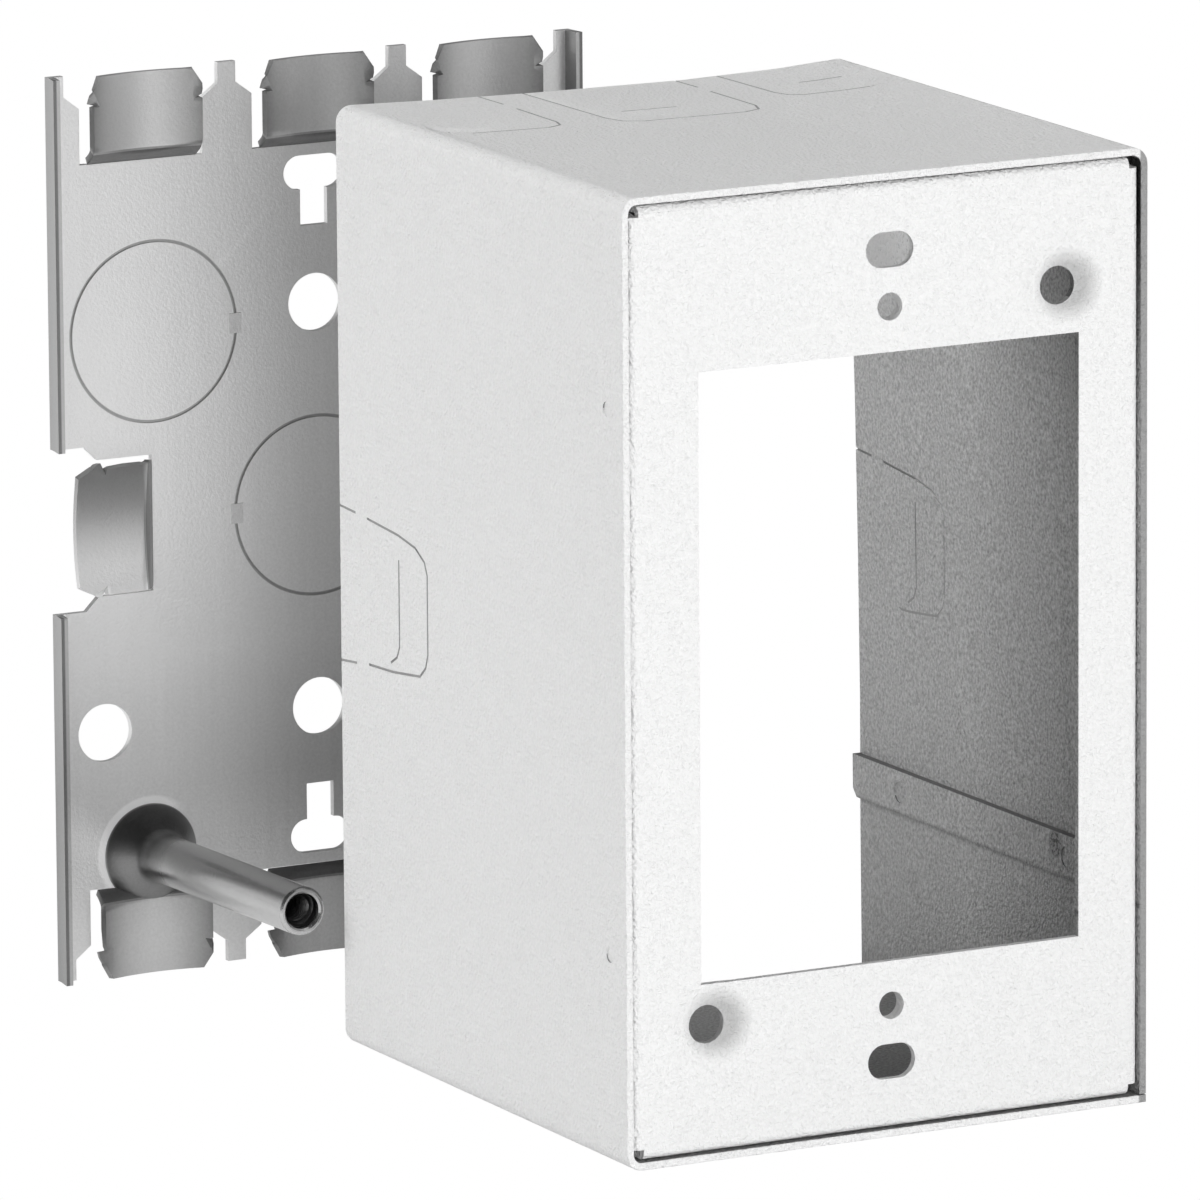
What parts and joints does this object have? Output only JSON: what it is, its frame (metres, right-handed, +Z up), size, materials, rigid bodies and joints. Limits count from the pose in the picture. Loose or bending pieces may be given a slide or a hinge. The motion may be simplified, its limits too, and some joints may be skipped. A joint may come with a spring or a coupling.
{
  "type": "raceway outlet box",
  "caption": "Deep painted surface outlet box with an open device face, shown with its stamped steel wall plate that has raised tongues and threaded posts.",
  "frame": {"origin": "floor level, below the middle of the overall box of both pieces", "axes": "+Z up; +Y from the device opening towards the wall; +X to the right seen from the device opening"},
  "size_m": [0.0888, 0.1194, 0.115],
  "materials": {
    "galvanised_steel": "bright rolled zinc-coated sheet with fine streaks",
    "cover_paint": "off-white paint with a fine orange-peel texture"
  },
  "bodies": {
    "root": {"base_plate": "galvanised_steel", "box_sleeve": "cover_paint", "front_panel": "cover_paint", "side_strap": "cover_paint"}
  },
  "joints": []
}
